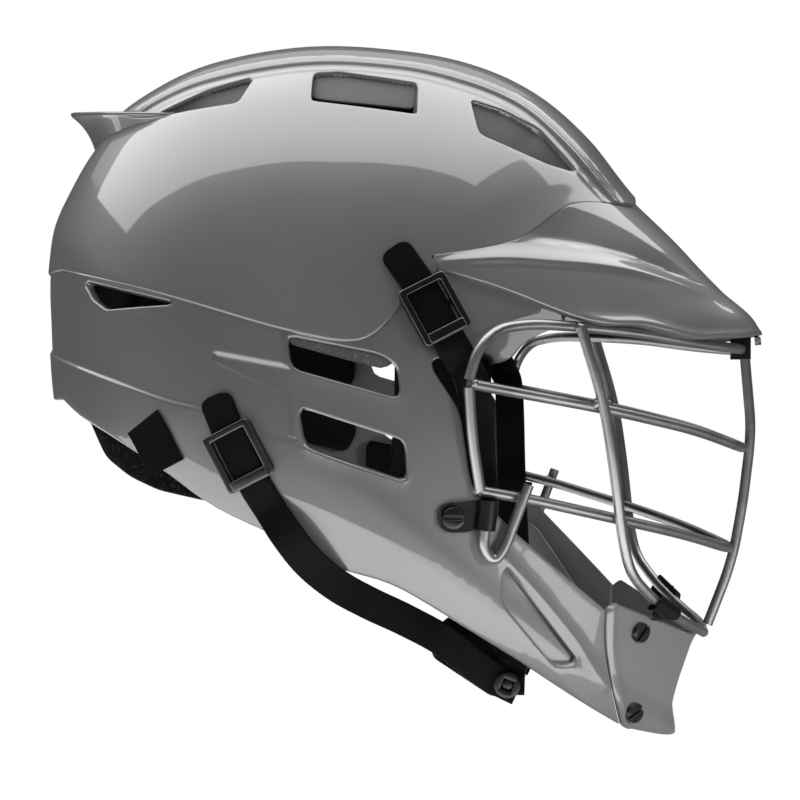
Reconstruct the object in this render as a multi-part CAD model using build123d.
from build123d import *
import math
import os

os.makedirs("parts", exist_ok=True)

# A lacrosse helmet in the worn attitude. +X is the face, +Y the wearer's left, +Z up.
# The origin is the middle of the head. Lengths are in millimetres.

# Head form that every outline follows: one share is this length along X and along Z
reach = 100.0
rise = 100.0
# Half of the shell's width at the ears
half_width = 113.0

# Shell mouldings
shell_wall = 3.0
lip_step = 2.4
seam_gap = 0.3
flange_width = 8.0
guard_step = 1.2
guard_wall = 2.4
vent_start = 33.0  # half width that the crown's vents leave uncut
ridge_height = 2.0
window_corner = 4.0
vent_corner = 2.5
jaw_corner = 4.0
overrun = 6.0

# Fasteners of the chin guard and the cage
screw_shank = 4.0
screw_head = 9.0
screw_head_height = 2.2
screw_slot = 1.2
screw_fit = 0.2
guard_screw_depth = 7.0

# Face cage of welded wire
wire = 4.8
weld_gap = 0.05
wire_bend = 30.0

# Cage clips
clamp_width = 13.0
clamp_thickness = 2.0
clip_length = 15.0
clip_wall = 2.2
clip_fit = 0.1

# Foam liner
liner_gap = 0.3
crown_pad_depth = 14.0
side_pad_depth = 13.0
brow_pad_depth = 11.0
jaw_pad_depth = 12.0
nape_pad_depth = 9.0

# Webbing, buckles and chin cup
web_width = 15.0
web_thickness = 1.6
web_lift = 3.0
web_gap = 0.3
frame_slack = 0.6
frame_side = 1.0
frame_length = 27.0
tab_width = 22.0
frame_bar = 2.8
frame_height = 1.8
stud_head = 10.0
stud_shank = 4.0
cup_half_width = 42.0
cup_wall = 3.0
pin_head = 12.0
pin_shank = 5.0
pin_square = 5.0

# Outlines in shares of reach along X and of rise along Z
fan_share = (0.0, -0.42)
profile_shares = [
    (2.21, -0.14), (2.04, 0.03), (1.89, 0.19), (1.61, 0.49), (1.41, 0.77), (1.21, 0.95),
    (1.02, 1.06), (0.83, 1.14), (0.44, 1.21), (0.00, 1.225), (-0.26, 1.19), (-0.46, 1.14),
    (-0.66, 1.06), (-0.87, 0.94), (-1.04, 0.78), (-1.17, 0.59), (-1.25, 0.39), (-1.27, 0.20),
    (-1.26, -0.14), (-1.23, -0.49), (-1.15, -0.84), (-0.87, -1.29), (-0.36, -1.75),
    (0.24, -2.06), (0.98, -2.24), (1.50, -2.28), (1.82, -2.12), (1.82, -1.94), (1.90, -1.68),
    (1.95, -1.58), (2.08, -1.26), (2.18, -0.97), (2.215, -0.71), (2.22, -0.40),
]
# Half width along X, in shares of reach and of half_width
taper_shares = [
    (-1.3, 0.955), (-0.9, 0.99), (-0.4, 1.01), (0.1, 1.0), (0.6, 0.965), (1.1, 0.90),
    (1.5, 0.805), (1.85, 0.62), (2.3, 0.42),
]
roundness_share = 2.2
station_count = 14
station_end = 82.0
search_steps = 40

# Edge of the upper shell from the back to the temple, then the visor's rear edge and its lip
seam_shares = [
    (-1.00, 0.115), (-0.59, 0.02), (-0.29, -0.06), (0.12, -0.18), (0.38, -0.235),
    (0.51, -0.22), (0.61, -0.13), (0.72, 0.02), (0.80, 0.08),
]
visor_rear_shares = [(0.77, 0.14), (1.12, 0.22), (1.36, 0.40), (1.62, 0.42)]
visor_lip_shares = [
    (1.08, -0.01), (1.36, -0.11), (1.52, -0.145), (1.67, -0.14), (1.89, -0.19),
    (2.05, -0.18), (2.14, -0.18), (2.21, -0.17),
]
# Edge of the lower shell round the face opening, then its lower edge to the back
face_edge_shares = [
    (1.25, -0.10), (1.15, -0.13), (1.04, -0.19), (0.96, -0.27), (0.86, -0.30), (0.79, -0.34),
    (0.90, -0.53), (0.93, -0.68), (0.96, -0.86), (1.02, -0.95), (1.13, -1.07),
]
guard_seam_shares = [(1.53, -1.45), (1.53, -1.66), (1.59, -2.00)]
hem_shares = [
    (1.15, -1.67), (0.64, -1.34), (0.33, -1.24), (0.07, -1.09), (-0.18, -0.96),
    (-0.42, -0.80), (-0.65, -0.67), (-0.86, -0.57), (-1.00, -0.49),
]
guard_front_shares = [(1.55, -1.38), (1.86, -1.55), (2.02, -1.62), (2.02, -2.16), (1.78, -2.14)]
rear_vent_shares = [(-0.84, 0.055), (-0.34, -0.065), (-0.70, -0.08), (-0.78, -0.03)]
vent_rib_shares = [(-0.55, 0.10), (-0.52, 0.10), (-0.47, -0.12), (-0.50, -0.12)]
upper_window_shares = [(0.16, -0.207), (0.56, -0.29), (0.64, -0.335), (0.655, -0.485), (0.18, -0.35)]
lower_window_shares = [(0.21, -0.52), (0.67, -0.67), (0.68, -0.85), (0.31, -0.72), (0.24, -0.69)]
jaw_cut_shares = [(1.09, -1.22), (1.42, -1.69), (1.31, -1.70), (1.08, -1.39)]
crown_vent_shares = [
    [(-0.62, 0.86), (-0.36, 1.00), (-0.12, 1.04), (-0.20, 0.83)],
    [(0.18, 1.03), (0.66, 1.01), (0.61, 0.82), (0.20, 0.85)],
    [(0.90, 0.88), (1.12, 0.85), (1.37, 0.56), (1.04, 0.64)],
]
tail_shares = [
    (-1.18, 0.93), (-0.42, 0.915), (-0.70, 0.83), (-0.90, 0.70), (-1.06, 0.66), (-1.06, 0.80),
]
# Plan of the rear fin: X share and share of half_width
tail_plan_shares = [(-0.40, 0.58), (-0.72, 0.59), (-0.98, 0.42), (-1.165, 0.0), (-0.98, -0.42),
                    (-0.72, -0.59), (-0.40, -0.58)]
ridge_ends_share = (-0.98, 1.66)
ridge_plan_shares = [(-1.05, 0.47), (-0.10, 0.47), (0.30, 0.445), (0.84, 0.405), (1.32, 0.335), (1.75, 0.26)]

# Places of screws and studs
guard_screw_shares = [(1.66, -1.55), (1.63, -1.92)]
clamp_screw_share = (0.86, -1.00)
front_stud_share = (0.635, 0.14)
rear_stud_share = (-0.135, -0.52)

# Wire routes: X share, Z share and lift off the form in wire diameters
rail_shares = [
    (0.945, -0.40, 1.3), (0.98, -0.27, 1.4), (1.06, -0.18, 0.9), (1.20, -0.155, 0.1),
    (1.42, -0.165, -1.25), (1.66, -0.185, -1.25), (1.90, -0.225, -1.25), (2.06, -0.245, -1.25),
    (2.13, -0.25, -1.25),
]
rear_bar_shares = [(0.945, -0.435, 1.3), (0.955, -0.66, 0.7), (0.985, -0.885, 0.25)]
upper_bar_shares = [(0.945, -0.42, 1.3), (1.15, -0.46, -0.8), (1.52, -0.53, -1.05), (1.92, -0.63, -1.05),
                    (2.135, -0.715, -0.9)]
lower_bar_shares = [(0.985, -0.885, 0.25), (1.20, -0.93, -0.8), (1.58, -1.03, -1.05), (1.86, -1.11, -1.05),
                    (2.07, -1.19, -0.4)]
side_bar_shares = [(1.41, -0.165, -0.20), (1.51, -0.50, 0.0), (1.555, -0.80, 0.0), (1.59, -1.12, 0.0),
                   (1.625, -1.28, 0.1), (1.73, -1.41, 0.3), (1.86, -1.52, 0.5), (1.94, -1.57, 0.6)]
centre_bar_shares = [(2.148, -0.25), (2.178, -0.60), (2.172, -0.72), (2.142, -0.97), (2.09, -1.26),
                     (1.975, -1.56)]
side_end_shares = (1.955, -1.595)
hook_shares = [(1.19, -0.86, 0.5), (1.085, -1.14, 0.55), (1.04, -1.20, 0.55), (0.995, -1.13, 0.5),
               (1.02, -0.93, 0.5)]
clamp_grip_share = 0.70
chin_clip_share = (1.78, -1.57)
clip_place_share = 0.30

# Webbing on the shell: X share, Z share and lift in millimetres named below
front_web_shares = [(0.61, 0.175), (0.68, 0.075), (0.745, -0.02), (0.81, -0.14), (0.865, -0.245)]
rear_web_shares = [(-0.155, -0.47), (-0.10, -0.61), (-0.045, -0.73), (0.02, -0.86), (0.08, -0.96)]
front_frame_share = (0.79, -0.10)
rear_frame_share = (-0.045, -0.73)
# Free webbing: X share, share of half_width and Z share
front_run_shares = [(0.905, 0.86, -0.325), (0.94, 0.80, -0.40), (0.955, 0.745, -0.55),
                    (0.97, 0.68, -0.90), (1.00, 0.54, -1.25), (1.03, 0.385, -1.56)]
rear_run_shares = [(0.16, 0.985, -1.08), (0.25, 0.945, -1.22), (0.36, 0.86, -1.345),
                   (0.48, 0.74, -1.44), (0.62, 0.61, -1.52), (0.78, 0.47, -1.62)]
cup_shares = [(0.68, -1.58), (0.69, -1.69), (0.98, -1.875), (1.07, -1.87), (1.14, -1.75), (1.11, -1.64)]
cup_inside_shares = [(0.75, -1.55), (0.75, -1.67), (0.98, -1.81), (1.03, -1.80), (1.065, -1.73),
                     (1.04, -1.60)]
cup_pad_shares = [(0.76, -1.57), (0.76, -1.66), (0.98, -1.80), (1.025, -1.79), (1.055, -1.73),
                  (1.035, -1.66), (1.00, -1.70), (0.975, -1.735), (0.82, -1.635), (0.82, -1.56)]
cup_pin_share = (1.06, -1.80)
crown_edge_shares = [(-1.05, 0.30), (-0.55, 0.20), (0.10, 0.16), (0.62, 0.30), (1.02, 0.50)]
side_liner_shares = [(-0.56, 0.06), (-0.28, -0.02), (0.10, -0.12), (0.13, -0.42), (0.18, -0.72),
                     (0.02, -0.84), (-0.30, -0.72), (-0.60, -0.52)]
rear_liner_shares = [(-0.62, 0.08), (-0.66, -0.34), (-1.40, -0.34), (-1.40, 0.16)]
brow_pad_shares = [(1.07, 0.42), (1.60, 0.28), (1.70, 0.06), (1.20, 0.03), (1.10, 0.14)]
jaw_pad_shares = [(0.20, -0.86), (0.62, -0.97), (0.94, -1.18), (1.10, -1.50), (0.66, -1.27), (0.36, -1.16)]
nape_pad_shares = [(-1.40, -0.37), (-1.40, -0.50), (-1.02, -0.50), (-0.90, -0.60), (-0.80, -0.78),
                   (-0.66, -0.87), (-0.50, -0.93), (-0.18, -0.985), (-0.12, -0.90), (-0.50, -0.62),
                   (-0.64, -0.55), (-0.66, -0.37)]
nape_tab_line_shares = [(-0.44, -0.60), (-0.49, -0.68), (-0.53, -0.76)]


def hermite(keys, value, period=0):
    """Read a smooth curve through sorted (place, height) keys at one place."""
    table = keys
    if period:
        before = [(place - period, height) for place, height in keys]
        after = [(place + period, height) for place, height in keys]
        table = before + keys + after
    if value <= table[0][0]:
        return table[0][1]
    if value >= table[-1][0]:
        return table[-1][1]
    start = max(index for index in range(len(table) - 1) if table[index][0] <= value)

    def slope(index):
        low = table[max(index - 1, 0)]
        high = table[min(index + 1, len(table) - 1)]
        return (high[1] - low[1]) / (high[0] - low[0])

    (place_0, height_0), (place_1, height_1) = table[start], table[start + 1]
    step = place_1 - place_0
    part = (value - place_0) / step
    blend_0 = (1 + 2 * part) * (1 - part) ** 2
    blend_1 = part * part * (3 - 2 * part)
    slope_0 = part * (1 - part) ** 2 * step * slope(start)
    slope_1 = part * part * (part - 1) * step * slope(start + 1)
    return blend_0 * height_0 + blend_1 * height_1 + slope_0 + slope_1


fan_x = fan_share[0] * reach
fan_z = fan_share[1] * rise
fan_keys = sorted(
    (math.atan2(z * rise - fan_z, x * reach - fan_x), math.hypot(x * reach - fan_x, z * rise - fan_z))
    for x, z in profile_shares
)


def centre_radius(angle):
    """Distance from the fan centre to the profile in the centre plane."""
    return hermite(fan_keys, angle, 2 * math.pi)


def width_at(x):
    """Greatest half width of the form at one X."""
    return half_width * hermite(taper_shares, x / reach)


def half_width_on(x, z, lift=0.0):
    """Y of the form's left side at one X and Z, lifted off the surface."""
    angle = math.atan2(z - fan_z, x - fan_x)
    share = math.hypot(x - fan_x, z - fan_z) / (centre_radius(angle) + lift)
    rest = max(1 - share ** roundness_share, 0)
    return (width_at(x) + lift) * rest ** (1 / roundness_share)


def section_radius(angle, y, lift):
    """Distance from the fan centre to the form in the plane at one Y."""
    full = centre_radius(angle) + lift
    low, high = 0.0, full
    for _ in range(search_steps):
        middle = (low + high) / 2
        width = width_at(fan_x + middle * math.cos(angle)) + lift
        if (middle / full) ** roundness_share + (abs(y) / width) ** roundness_share > 1:
            high = middle
        else:
            low = middle
    return (low + high) / 2


station_shares = []
for station in range(station_count):
    even = -1 + 2 * station / (station_count - 1)
    dense = -math.cos(station * math.pi / (station_count - 1))
    sweep_angle = math.radians(station_end) * (even + dense) / 2
    station_shares.append(math.copysign(abs(math.sin(sweep_angle)) ** (2 / roundness_share), sweep_angle))

forms = {}


def form(lift):
    """Closed solid of the helmet's outer form, grown or shrunk by lift."""
    if lift not in forms:
        wires = []
        for share in station_shares:
            y = share * (width_at(fan_x) + lift)
            points = []
            for angle, _ in fan_keys:
                radius = section_radius(angle, y, lift)
                points.append(Vector(fan_x + radius * math.cos(angle), y, fan_z + radius * math.sin(angle)))
            wires.append(Wire([Edge.make_spline(points, periodic=True)]))
        forms[lift] = Solid.make_loft(wires)
    return forms[lift]


def skin(outer, inner, block):
    """Skin of the form between two lifts, inside a block."""
    return (form(outer) & block) - form(inner)


def spot(share, y=0.0):
    """Point in the plane at one Y from a pair of shares."""
    return Vector(share[0] * reach, y, share[1] * rise)


def spots(shares, x=0.0, z=0.0):
    """Points in the centre plane from shares, moved along X and Z."""
    return [spot(share) + Vector(x, 0, z) for share in shares]


span = half_width + 4 * overrun
far_back = -2 * reach
far_front = 3 * reach
far_up = 2 * rise
far_down = -3 * rise


def prism(points, y_start=-span, y_end=span):
    """Straight block along Y through a list of points in one plane."""
    face = Face(Wire.make_polygon([Vector(point.X, y_start, point.Z) for point in points]))
    return Solid.extrude(face, Vector(0, y_end - y_start, 0))


def rounded_prism(shares, corner, y_start, y_end):
    """Block along Y through an outline with rounded corners."""
    outline = FilletPolyline(*[spot(share, y_start) for share in shares], radius=corner, close=True)
    return Solid.extrude(Face(Wire(outline.edges())), Vector(0, y_end - y_start, 0))


def mirrored(piece):
    """The same piece on the wearer's other side."""
    return piece.mirror(Plane.XZ)


def join(*pieces):
    """One solid from touching pieces."""
    return pieces[0].fuse(*pieces[1:])


def visor_block(offset):
    """Block of the visor and all in front of it, with its rear edge moved by offset."""
    rear = spots([seam_shares[-1]] + visor_rear_shares, x=offset)
    lip = spots(visor_lip_shares)
    outline = [Vector(rear[-1].X, 0, far_up)] + list(reversed(rear)) + lip
    outline += [Vector(far_front, 0, lip[-1].Z), Vector(far_front, 0, far_up)]
    return prism(outline)


def upper_block(offset):
    """Block above the upper shell's edge, which is moved up by offset, and behind the visor."""
    seam = spots(seam_shares, z=offset)
    rear = spots(visor_rear_shares, x=-offset)
    outline = [Vector(far_back, 0, seam[0].Z)] + seam + rear
    outline += [Vector(rear[-1].X, 0, far_up), Vector(far_back, 0, far_up)]
    return prism(outline)


def lower_block(offset):
    """Block of the lower shell, whose top edge is moved up by offset."""
    top = spots(seam_shares + visor_lip_shares[:1], z=offset)
    outline = top + spots(face_edge_shares + guard_seam_shares + hem_shares)
    outline += [Vector(far_back, 0, spot(hem_shares[-1]).Z), Vector(far_back, 0, top[0].Z)]
    return prism(outline)


def guard_block(offset):
    """Block of the chin guard, whose rear edge is moved forward by offset."""
    return prism(spots(guard_seam_shares, x=offset) + list(reversed(spots(guard_front_shares))))


def tongue_block():
    """Strip of the guard's block next to the jaw."""
    strip = spots(guard_seam_shares) + list(reversed(spots(guard_seam_shares, x=3 * flange_width)))
    return prism(strip) & guard_block(0)


def place_on(share, side, lift, along=None):
    """Plane on the form at a pair of shares, with Z outwards and X along a direction."""
    x, z = share[0] * reach, share[1] * rise
    delta = seam_gap
    slope_x = (half_width_on(x + delta, z, lift) - half_width_on(x - delta, z, lift)) / (2 * delta)
    slope_z = (half_width_on(x, z + delta, lift) - half_width_on(x, z - delta, lift)) / (2 * delta)
    normal = Vector(-slope_x, side, -slope_z).normalized()
    origin = Vector(x, side * half_width_on(x, z, lift), z)
    if along is None:
        return Plane(origin, z_dir=normal)
    flat = along - normal * along.dot(normal)
    return Plane(origin, x_dir=flat, z_dir=normal)


def peg(plane, diameter, start, end):
    """Round bar along a plane's normal from start to end."""
    disc = plane.offset(start) * Circle(diameter / 2)
    return extrude(disc, amount=end - start, dir=plane.z_dir)


def slab(plane, length, width, start, end):
    """Rectangular block on a plane from one height to another."""
    return extrude(plane.offset(start) * Rectangle(length, width), amount=end - start, dir=plane.z_dir)


def save(name, *pieces):
    """Write one node from one or more solids and print its volume."""
    solids = [solid for piece in pieces for solid in piece.solids()]
    body = solids[0] if len(solids) == 1 else Compound(children=solids)
    export_step(body, "parts/" + name + ".step")
    print(name, len(solids), round(sum(solid.volume for solid in solids), 1))


# Shells
def build_upper_shell():
    """Crown moulding with its ridge, vents, rear fin and the tongue under the visor."""
    half_gap = seam_gap / 2
    shell = skin(0, -shell_wall, upper_block(half_gap))
    back, front = ridge_ends_share[0] * reach, ridge_ends_share[1] * reach
    right = [Vector(x * reach, -y * half_width, 0) for x, y in ridge_plan_shares]
    left = [Vector(point.X, -point.Y, 0) for point in reversed(right)]
    ridge_column = Solid.extrude(Face(Wire.make_polygon(right + left)), Vector(0, 0, far_up))
    ridge_block = prism(
        [Vector(back, 0, rise / 2), Vector(front - half_gap, 0, rise / 4),
         Vector(front - half_gap, 0, far_up), Vector(back, 0, far_up)],
    ) & ridge_column & upper_block(half_gap)
    ridge = skin(ridge_height, -shell_wall / 2, ridge_block)
    plan = [Vector(x * reach, y * half_width, 0) for x, y in tail_plan_shares]
    column = Solid.extrude(Face(Wire([Spline(*plan), Line(plan[-1], plan[0])])), Vector(0, 0, far_up))
    tail = (prism(spots(tail_shares)) & column) - form(-shell_wall / 2)
    tongue_top = -shell_wall - seam_gap
    ahead = visor_block(-half_gap) - visor_block(2 * flange_width)
    behind = visor_block(-flange_width) - visor_block(-half_gap)
    low_cut = prism([Vector(far_back, 0, far_down), Vector(far_front, 0, far_down),
                     Vector(far_front, 0, rise / 5), Vector(far_back, 0, rise / 5)])
    tongue = skin(tongue_top, tongue_top - shell_wall, ahead - low_cut)
    root = skin(-shell_wall / 2, tongue_top - shell_wall, behind - low_cut)
    shell = join(shell, ridge, tail, tongue, root)
    cuts = [rounded_prism(shares, vent_corner, vent_start, span) for shares in crown_vent_shares]
    return shell.cut(*cuts, *[mirrored(cut) for cut in cuts])


def build_visor():
    """Brim in front of the crown, over the cage's top rail."""
    return skin(0, -shell_wall, visor_block(seam_gap / 2))


def build_lower_shell():
    """Rear panel, ear windows, cheeks and jaw in one moulding, with its flange under the seam."""
    half_gap = seam_gap / 2
    outer, inner = -lip_step, -lip_step - shell_wall
    shell = skin(outer, inner, lower_block(-half_gap))
    rear_band = prism([Vector(far_back, 0, far_down), Vector(spot(seam_shares[4]).X, 0, far_down),
                       Vector(spot(seam_shares[4]).X, 0, far_up), Vector(far_back, 0, far_up)])
    flange_block = (lower_block(flange_width) - lower_block(-half_gap)) & rear_band
    flange = skin(-shell_wall - seam_gap, inner, flange_block)
    tongue = skin(-guard_step - guard_wall - seam_gap, inner, tongue_block())
    shell = join(shell, flange, tongue)
    near = half_width / 2
    vent = rounded_prism(rear_vent_shares, vent_corner / 2, near / 2, span)
    vent = vent - prism(spots(vent_rib_shares))
    cuts = [
        rounded_prism(upper_window_shares, window_corner, near, span),
        rounded_prism(lower_window_shares, window_corner, near, span),
        rounded_prism(jaw_cut_shares, jaw_corner, near / 4, span),
        *vent.solids(),
    ]
    return shell.cut(*cuts, *[mirrored(cut) for cut in cuts])


def build_chin_guard():
    """Front plate that joins the two jaw arms."""
    return skin(-guard_step, -guard_step - guard_wall, guard_block(seam_gap))


def guard_places():
    """Planes of the chin guard's screws, on its outer face."""
    return [place_on(share, side, -guard_step) for share in guard_screw_shares for side in (-1, 1)]


def slotted_screw(place, depth):
    """Screw with a round slotted head that stands on a plane."""
    head = peg(place, screw_head, seam_gap, seam_gap + screw_head_height)
    shank = peg(place, screw_shank, -depth, seam_gap)
    slot = slab(place, 2 * screw_head, screw_slot, seam_gap + screw_head_height / 2, overrun)
    return join(head, shank) - slot


# Cage
def on_route(share, side=-1):
    """Point of a wire route on one side."""
    x, z, lift = share[0] * reach, share[1] * rise, share[2] * wire
    return Vector(x, side * half_width_on(x, z, lift), z)


def rod(points, diameter=wire):
    """Bent wire through points, with bends as wide as its runs allow."""
    radii = []
    for before, corner, after in zip(points, points[1:], points[2:]):
        turn = math.radians((corner - before).get_angle(after - corner))
        shorter = min((corner - before).length, (after - corner).length)
        radii.append(0.45 * shorter / math.tan(max(turn, 0.01) / 2))
    radii = [min(radius, 10 * wire_bend) for radius in radii]
    path = Wire(FilletPolyline(*points, radius=radii).edges())
    section = Plane(path @ 0, z_dir=path % 0) * Circle(diameter / 2)
    return sweep(section, path=path)


def across(shares):
    """Route from the right side over the centre to the left side."""
    right = [on_route(share) for share in shares]
    return right + [Vector(point.X, -point.Y, point.Z) for point in reversed(right)]


rail_points = across(rail_shares)
rear_points = [on_route(share) for share in rear_bar_shares]
upper_points = across(upper_bar_shares)
lower_points = across(lower_bar_shares)
side_end = spot(side_end_shares, -wire / 2 - weld_gap)
side_points = [on_route(share) for share in side_bar_shares] + [side_end]
centre_points = spots(centre_bar_shares)
hook_points = [on_route(share) for share in hook_shares]
grown_wire = wire + 2 * weld_gap


def build_grip(base, grip, wire_along, lift, width, length):
    """Plate on the form at one place, with an arm to a loop round a wire."""
    plate = slab(base, width, width, seam_gap, seam_gap + clamp_thickness)
    arm_plane = Plane(base.origin + (grip - base.origin) / 2, x_dir=grip - base.origin, z_dir=base.z_dir)
    arm = slab(arm_plane, (grip - base.origin).length, width, -clamp_thickness / 2, clamp_thickness / 2)
    loop_plane = Plane(grip, z_dir=wire_along)
    loop = peg(loop_plane, wire + 2 * clip_wall, -length / 2, length / 2)
    return join(plate, arm, loop) - form(lift + seam_gap)


def on_run(points, index, share):
    """Point on one straight run of a route, and the run's direction."""
    along = points[index + 1] - points[index]
    return points[index] + along * share, along


def build_visor_clip():
    """Block round the top rail's middle and the top of the centre bar."""
    middle = Vector(rail_points[len(rail_points) // 2].X, 0, rail_points[len(rail_points) // 2].Z)
    size = wire + 2 * clip_wall
    place = Plane(middle, x_dir=Vector(1, 0, 0), z_dir=Vector(0, 0, 1))
    block = slab(place, size, clip_length, -size / 2, size / 2 + clip_wall / 2)
    return block - rod(rail_points, wire + 2 * clip_fit) - rod(centre_points, wire + 2 * clip_fit)


# Webbing
def ribbon(points, normals, width=web_width, thickness=web_thickness):
    """Flat strap through points, with a face direction at each point."""
    wires = []
    for index, point in enumerate(points):
        before = points[max(index - 1, 0)]
        after = points[min(index + 1, len(points) - 1)]
        tangent = (after - before).normalized()
        normal = (normals[index] - tangent * normals[index].dot(tangent)).normalized()
        across_strap = tangent.cross(normal) * (width / 2)
        up = normal * (thickness / 2)
        corners = [point + across_strap + up, point - across_strap + up, point - across_strap - up,
                   point + across_strap - up]
        wires.append(Wire.make_polygon(corners))
    return Solid.make_loft(wires, ruled=True)


def web_line(shares, lift):
    """Points and face directions of webbing that lies on the shell's right side."""
    places = [place_on(share, -1, lift) for share in shares]
    return [place.origin for place in places], [place.z_dir for place in places]


def run_line(shares):
    """Points and face directions of webbing that hangs free on the right side."""
    points = [Vector(x * reach, -y * half_width, z * rise) for x, y, z in shares]
    return points, [Vector(0, -1, 0)] * len(points)


def build_frame(share, lift, along):
    """Ladder frame round the webbing, with bars over it and one bar under it."""
    place = place_on(share, -1, lift, along)
    inner_width = web_width + 2 * frame_side
    outer_width = inner_width + 2 * frame_bar
    over = web_thickness / 2 + frame_slack
    low, high = -web_lift + 2 * web_gap, over + frame_height
    block = slab(place, frame_length, outer_width, low, high)
    block = block - slab(place, 2 * frame_length, inner_width, low - overrun, over)
    opening = frame_length - 2 * frame_bar
    window = slab(place, opening, inner_width, low - overrun, high + overrun)
    bar = slab(place, frame_bar, outer_width, low, -over)
    return join(block - window, bar)


def stud(share, lift):
    """Hidden snap stud between the shell and the webbing's end."""
    place = place_on(share, -1, lift)
    return join(peg(place, stud_head, web_gap, web_lift - web_thickness / 2 - web_gap),
                peg(place, stud_shank, -shell_wall, web_gap))


upper_shell = build_upper_shell()
lower_shell = build_lower_shell()
chin_guard = build_chin_guard()
screw_bore = screw_shank + 2 * screw_fit
bore_reach = 2 * guard_screw_depth
guard_bores = [peg(place, screw_bore, -bore_reach, bore_reach) for place in guard_places()]
clamp_place = place_on(clamp_screw_share, -1, -lip_step)
front_stud_place = place_on(front_stud_share, -1, 0)
rear_stud_place = place_on(rear_stud_share, -1, -lip_step)
stud_bore = stud_shank + 2 * screw_fit
cheek_bores = [peg(clamp_place, screw_bore, -2 * overrun, overrun),
               peg(rear_stud_place, stud_bore, -overrun, overrun)]
cheek_bores += [mirrored(bore) for bore in cheek_bores]
crown_bore = peg(front_stud_place, stud_bore, -overrun, overrun)
save("upper_shell", upper_shell.cut(crown_bore, mirrored(crown_bore)))
save("visor", build_visor())
save("lower_shell", lower_shell.cut(*guard_bores, *cheek_bores))
head_seats = [peg(place, screw_head + 2 * screw_fit, 0, overrun) for place in guard_places()]
save("chin_guard", chin_guard.cut(*guard_bores, *head_seats))
save("chin_guard_screws", *[slotted_screw(place, guard_screw_depth) for place in guard_places()])

rail = rod(rail_points)
rear_bar = rod(rear_points)
upper_bar = rod(upper_points)
lower_bar = rod(lower_points)
centre_bar = rod(centre_points)
side_bar = rod(side_points)
hook = rod(hook_points)
grown_rear = rod(rear_points, grown_wire)
grown_rail = rod(rail_points, grown_wire)
grown_lower = rod(lower_points, grown_wire)
grown_side = rod(side_points, grown_wire)
grown_upper = rod(upper_points, grown_wire)
save("cage_top_rail", rail)
rear_bar = rear_bar - grown_rail
upper_bar = upper_bar.cut(grown_rear, mirrored(grown_rear), grown_rail)
lower_bar = lower_bar.cut(grown_rear, mirrored(grown_rear))
centre_bar = centre_bar.cut(grown_side, mirrored(grown_side), grown_rail, grown_lower, grown_upper)
save("cage_rear_bar_right", rear_bar)
save("cage_rear_bar_left", mirrored(rear_bar))
save("cage_upper_bar", upper_bar)
save("cage_lower_bar", lower_bar)
save("cage_centre_bar", centre_bar)
side_bar = side_bar.cut(grown_rail, grown_upper, grown_lower)
save("cage_side_bar_right", side_bar)
save("cage_side_bar_left", mirrored(side_bar))
hook = hook.cut(grown_lower)
save("cage_hook_right", hook)
save("cage_hook_left", mirrored(hook))
clamp_grip, clamp_along = on_run(hook_points, -2, clamp_grip_share)
clamp = build_grip(clamp_place, clamp_grip, clamp_along, -lip_step, clamp_width, clamp_width)
head_room = peg(clamp_place, screw_head + 2 * screw_fit, seam_gap + clamp_thickness, 2 * overrun)
shank_room = peg(clamp_place, screw_bore, -overrun, overrun)
clamp = clamp.cut(rod(hook_points, wire + 2 * clip_fit), head_room, shank_room)
save("cage_clamp_right", clamp)
save("cage_clamp_left", mirrored(clamp))
clamp_screw = slotted_screw(clamp_place.offset(seam_gap + clamp_thickness), guard_screw_depth)
save("clamp_screws", clamp_screw, mirrored(clamp_screw))
clip_grip, clip_along = on_run(side_points, 5, clip_place_share)
clip_base = place_on(chin_clip_share, -1, -guard_step, clip_along)
chin_clip = build_grip(clip_base, clip_grip, clip_along, -guard_step, clamp_width, clip_length)
chin_clip = chin_clip - rod(side_points, wire + 2 * clip_fit)
save("chin_clip_right", chin_clip)
save("chin_clip_left", mirrored(chin_clip))
save("visor_clip", build_visor_clip())

# Liner
lower_face = -lip_step - shell_wall - liner_gap
upper_face = -shell_wall - liner_gap
crown_edge = spots(crown_edge_shares)
crown_block = prism([Vector(far_back, 0, crown_edge[0].Z)] + crown_edge
                    + [Vector(crown_edge[-1].X, 0, far_up), Vector(far_back, 0, far_up)])
brow_face = -2 * shell_wall - seam_gap - liner_gap
save("crown_liner", skin(upper_face, upper_face - crown_pad_depth, crown_block))
side_liner = skin(lower_face, lower_face - side_pad_depth, prism(spots(side_liner_shares), -span, 0))
save("side_liner_right", side_liner)
save("side_liner_left", mirrored(side_liner))
save("rear_liner", skin(lower_face, lower_face - side_pad_depth, prism(spots(rear_liner_shares))))
save("brow_pad", skin(brow_face, brow_face - brow_pad_depth, prism(spots(brow_pad_shares))))
jaw_pad = skin(lower_face, lower_face - jaw_pad_depth, prism(spots(jaw_pad_shares), -span, 0))
save("jaw_pad_right", jaw_pad)
save("jaw_pad_left", mirrored(jaw_pad))
save("nape_pad", skin(lower_face, lower_face - nape_pad_depth, prism(spots(nape_pad_shares))))

# Nape adjuster: a fabric tab folded up over the hem on each side, and its loop
tab_lift = -lip_step + web_gap + web_thickness / 2
tab_places = [place_on(share, -1, tab_lift) for share in nape_tab_line_shares]
tab = ribbon([place.origin for place in tab_places], [place.z_dir for place in tab_places], tab_width)
save("nape_tabs", tab, mirrored(tab))

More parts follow.
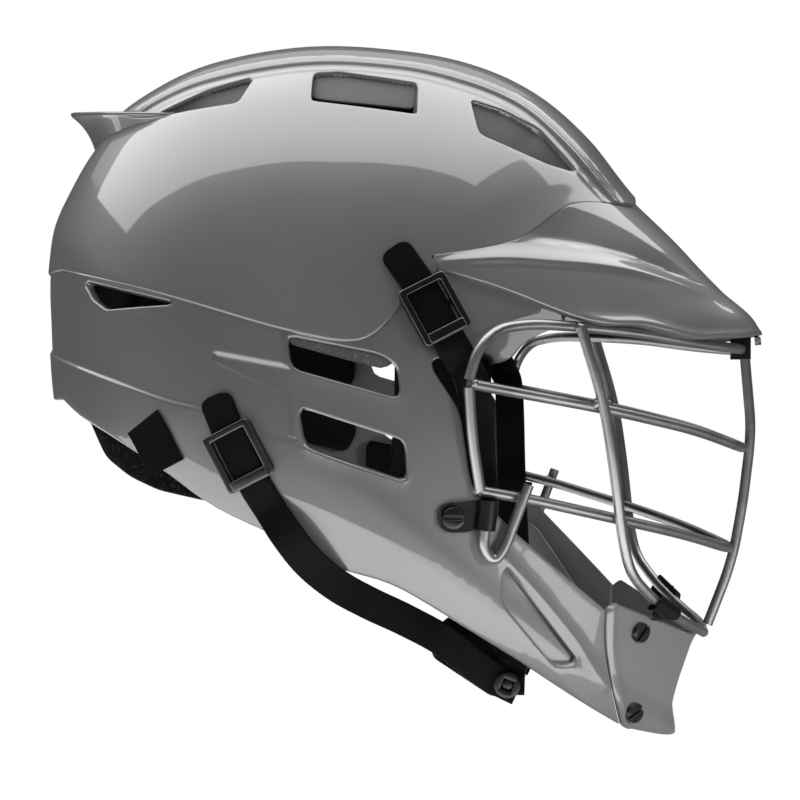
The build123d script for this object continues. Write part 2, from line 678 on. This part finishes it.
# Webbing, buckles and studs
web_top = web_lift
front_line, front_faces = web_line(front_web_shares, web_top)
front_run, front_run_faces = run_line(front_run_shares)
rear_top = -lip_step + web_lift
rear_line, rear_faces = web_line(rear_web_shares, rear_top)
rear_run, rear_run_faces = run_line(rear_run_shares)
pin_centre = spot(cup_pin_share)
front_end = -cup_half_width - web_gap - web_thickness / 2
rear_end = front_end - web_gap - web_thickness
front_tail = [pin_centre + Vector(0, front_end, pin_square * 2),
              pin_centre + Vector(0, front_end, -pin_square)]
rear_tail = [pin_centre + Vector(-pin_square * 2, rear_end, pin_square),
             pin_centre + Vector(pin_square, rear_end, -pin_square / 2)]
outward = Vector(0, -1, 0)
front_strap = ribbon(front_line + front_run + front_tail, front_faces + front_run_faces + [outward] * 2)
rear_strap = ribbon(rear_line + rear_run + rear_tail, rear_faces + rear_run_faces + [outward] * 2)
pin_plane = Plane(pin_centre, z_dir=outward)
pin_bore = peg(pin_plane, pin_shank + 2 * screw_fit, 0, span)
front_strap = front_strap - pin_bore
rear_strap = rear_strap - pin_bore
save("front_strap_right", front_strap)
save("front_strap_left", mirrored(front_strap))
save("rear_strap_right", rear_strap)
save("rear_strap_left", mirrored(rear_strap))
front_frame = build_frame(front_frame_share, web_top, front_line[3] - front_line[2])
rear_frame = build_frame(rear_frame_share, rear_top, rear_line[3] - rear_line[2])
save("front_buckle_right", front_frame)
save("front_buckle_left", mirrored(front_frame))
save("rear_buckle_right", rear_frame)
save("rear_buckle_left", mirrored(rear_frame))
front_stud = stud(front_stud_share, 0)
rear_stud = stud(rear_stud_share, -lip_step)
save("strap_studs", front_stud, mirrored(front_stud), rear_stud, mirrored(rear_stud))

# Chin cup
cup = prism(spots(cup_shares), -cup_half_width, cup_half_width)
cup = cup - prism(spots(cup_inside_shares), -cup_half_width + cup_wall, cup_half_width - cup_wall)
save("chin_cup", cup - peg(pin_plane, pin_shank + 2 * screw_fit, -span, span))
pad_end = cup_half_width - cup_wall - web_gap
save("chin_cup_pad", prism(spots(cup_pad_shares), -pad_end, pad_end))
pin_face = -rear_end + web_thickness / 2 + web_gap
pin = join(peg(pin_plane, pin_head, pin_face, pin_face + clamp_thickness),
           peg(pin_plane, pin_shank, pad_end + web_gap, pin_face))
pin = pin - slab(pin_plane, pin_square, pin_square, pin_face + clamp_thickness / 2, pin_face + overrun)
save("cup_pins", pin, mirrored(pin))
